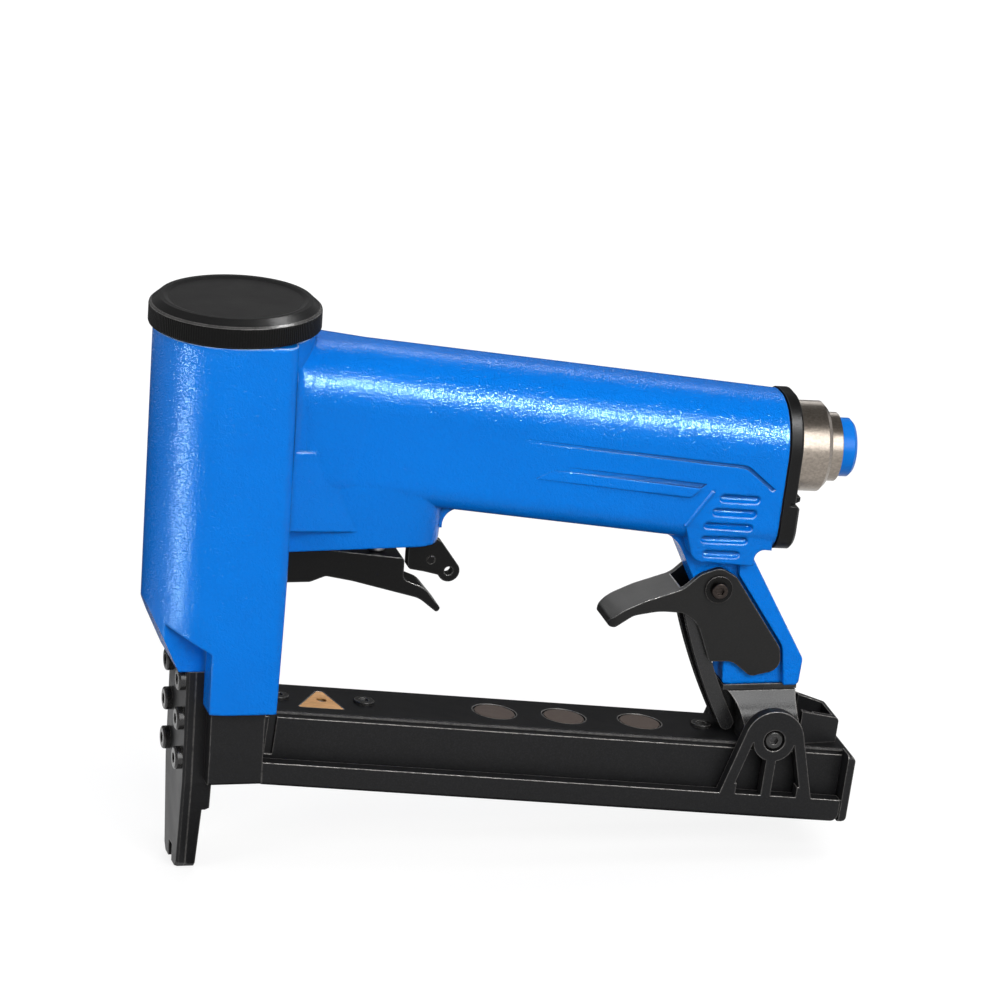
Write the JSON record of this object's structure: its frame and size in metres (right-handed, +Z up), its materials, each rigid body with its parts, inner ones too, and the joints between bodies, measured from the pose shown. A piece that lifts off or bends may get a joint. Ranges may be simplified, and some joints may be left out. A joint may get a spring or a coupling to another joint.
{
  "type": "compressed-air staple tacker",
  "caption": "Pistol-grip air tacker: round head with a stapling nose, ribbed handle, trigger, sloping pull-out staple magazine, release lever and push-in hose fitting.",
  "frame": {"origin": "on the nose tip's contact face, in the middle of the driver blade's channel", "axes": "+Z up along the driver blade, +X to the rear along the handle, +Y to the far side; the XZ plane is the plane of symmetry"},
  "size_m": [0.2156, 0.05, 0.1722],
  "materials": {
    "blue_paint": "die-cast light alloy in semi-gloss blue paint with a fine pebbled texture",
    "black_cap": "satin black paint",
    "black_metal": "black anodised light alloy with bright worn edges",
    "lever_black": "satin black paint",
    "steel": "bright steel",
    "dark_screws": "black oxide steel",
    "spring_steel": "spring wire and strip",
    "light_alloy": "machined",
    "nickel": "satin nickel plate",
    "rubber": "moulded rubber",
    "blue_plastic": "moulded blue plastic",
    "window_plastic": "smoked taupe plastic",
    "brass": "satin brass"
  },
  "bodies": {
    "frame": {"housing": "blue_paint", "head_cap": "black_cap", "cap_gasket": "rubber", "cylinder_sleeve": "light_alloy", "bumper": "rubber", "nose_front_plate": "black_metal", "nose_guide": "black_metal", "nose_screws": "dark_screws", "magazine_head": "black_metal", "magazine_tray": "black_metal", "ear_bolts": "dark_screws", "saddle": "black_metal", "foot_plate": "black_metal", "saddle_stud": "steel", "staple_rail": "steel", "feed_spring": "spring_steel", "feed_arbor": "steel", "end_gasket": "rubber", "end_cap": "black_cap", "inlet_fitting": "nickel", "hose_seal": "rubber", "trigger_pin": "steel", "trigger_valve": "light_alloy", "trigger_tab": "lever_black", "tab_pin": "steel", "lever_pivot": "dark_screws", "lever_washers": "dark_screws", "lever_spring": "spring_steel"},
    "driver": {"piston": "light_alloy", "piston_ring": "rubber", "driver_blade": "steel", "blade_pin": "steel"},
    "main_valve": {"head_valve": "light_alloy"},
    "trigger": {"trigger": "lever_black"},
    "stem": {"valve_stem": "steel", "valve_spring": "spring_steel"},
    "lever": {"release_lever": "lever_black", "latch_hook": "steel"},
    "slide": {"magazine_slide": "black_metal", "slide_tail": "black_metal", "slide_screws": "dark_screws", "view_windows": "window_plastic", "brass_inlay": "brass"},
    "pusher": {"pusher": "steel"},
    "collar": {"release_collar": "blue_plastic"}
  },
  "joints": [
    {"name": "driver_stroke", "type": "slide", "parent": "frame", "child": "driver", "axis": [0, 0, -1], "range_m": [0, 0.0485]},
    {"name": "main_valve_lift", "type": "slide", "parent": "frame", "child": "main_valve", "axis": [0, 0, 1], "range_m": [0, 0.0025], "stiffness_N_per_m": 600, "springref_m": -0.002},
    {"name": "trigger_pull", "type": "hinge", "parent": "frame", "child": "trigger", "pos_m": [0.0295, 0, 0.1018], "axis": [0, -1, 0], "range_deg": [0, 4], "stiffness_Nm_per_rad": 0.4, "springref_deg": -2.86},
    {"name": "stem_press", "type": "slide", "parent": "frame", "child": "stem", "axis": [0, 0, 1], "range_m": [0, 0.0018], "deforming": ["valve_spring"]},
    {"name": "lever_squeeze", "type": "hinge", "parent": "frame", "child": "lever", "pos_m": [0.1564, 0, 0.0823], "axis": [0, 1, 0], "range_deg": [0, 10], "stiffness_Nm_per_rad": 0.3, "springref_deg": -5.73},
    {"name": "magazine_open", "type": "slide", "parent": "frame", "child": "slide", "axis": [0.9952, 0, -0.0976], "range_m": [0, 0.09]},
    {"name": "pusher_feed", "type": "slide", "parent": "frame", "child": "pusher", "axis": [0.9952, 0, -0.0976], "range_m": [0, 0.1], "stiffness_N_per_m": 10, "springref_m": -0.2},
    {"name": "collar_press", "type": "slide", "parent": "frame", "child": "collar", "axis": [-0.9981, 0, 0.061], "range_m": [0, 0.0015], "stiffness_N_per_m": 1500, "springref_m": -0.001}
  ],
  "couplings": [
    {"joint": "stem_press", "follows": "trigger_pull", "m_per_rad": 0.0245}
  ]
}
